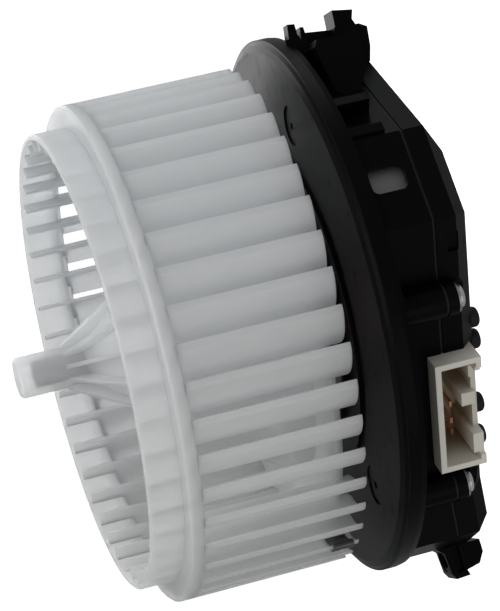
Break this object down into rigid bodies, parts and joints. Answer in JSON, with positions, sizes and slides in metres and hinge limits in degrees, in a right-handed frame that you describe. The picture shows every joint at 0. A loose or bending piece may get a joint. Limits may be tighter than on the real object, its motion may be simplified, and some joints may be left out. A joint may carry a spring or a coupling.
{
  "type": "blower motor wheel",
  "caption": "Cabin blower: squirrel-cage fan wheel on an external-rotor motor, carried by a round mounting flange with a controller casing and plug socket.",
  "frame": {"origin": "centre of the flange rim's front edge, on the shaft's axis", "axes": "+Z along the shaft towards the wheel's nose, +Y to the top latch bracket, -Y to the bottom lug"},
  "size_m": [0.1628, 0.1722, 0.1261],
  "materials": {
    "wheel_plastic": "milky translucent, satin",
    "black_plastic": "satin moulded",
    "cover_plastic": "satin moulded",
    "ivory_plastic": "satin",
    "insulator_plastic": "matte",
    "polymer_washer": "matte",
    "rubber": "matte",
    "copper": "bright",
    "spring_steel": "dark, phosphated",
    "shaft_steel": "ground",
    "yoke_zinc": "zinc plated",
    "lamination_steel": "stacked sheet",
    "screw_steel": "zinc plated",
    "bearing_steel": "polished",
    "holder_aluminium": "die cast",
    "sink_aluminium": "die cast",
    "can_aluminium": "sleeved",
    "ferrite": "sintered",
    "board_green": "solder mask",
    "epoxy": "moulded"
  },
  "bodies": {
    "housing": {"stator_core": "lamination_steel", "stator_insulator": "insulator_plastic", "stator_coils": "copper", "bearing_holder": "holder_aluminium", "vibration_bushes": "rubber", "motor_screws": "screw_steel", "phase_leads": "copper", "mounting_flange": "black_plastic", "rear_cover": "cover_plastic", "cover_seal": "rubber", "cover_screws": "screw_steel", "screw_washers": "screw_steel", "cover_plugs": "rubber", "connector_housing": "ivory_plastic", "connector_pins": "copper", "circuit_board": "board_green", "heat_sink": "sink_aluminium", "power_transistors": "epoxy", "capacitors": "can_aluminium", "choke_core": "ferrite", "choke_winding": "copper", "front_bearing": "bearing_steel", "rear_bearing": "bearing_steel"},
    "rotor": {"fan_wheel": "wheel_plastic", "inlet_ring": "wheel_plastic", "motor_shaft": "shaft_steel", "rotor_yoke": "yoke_zinc", "rotor_magnets": "ferrite", "front_bearing_race": "bearing_steel", "rear_bearing_race": "bearing_steel", "shaft_clip": "spring_steel", "thrust_washer": "polymer_washer", "balance_clip": "spring_steel"}
  },
  "joints": [
    {"name": "rotor_spin", "type": "hinge", "parent": "housing", "child": "rotor", "pos_m": [0, 0, 0], "axis": [0, 0, 1], "continuous": true}
  ]
}
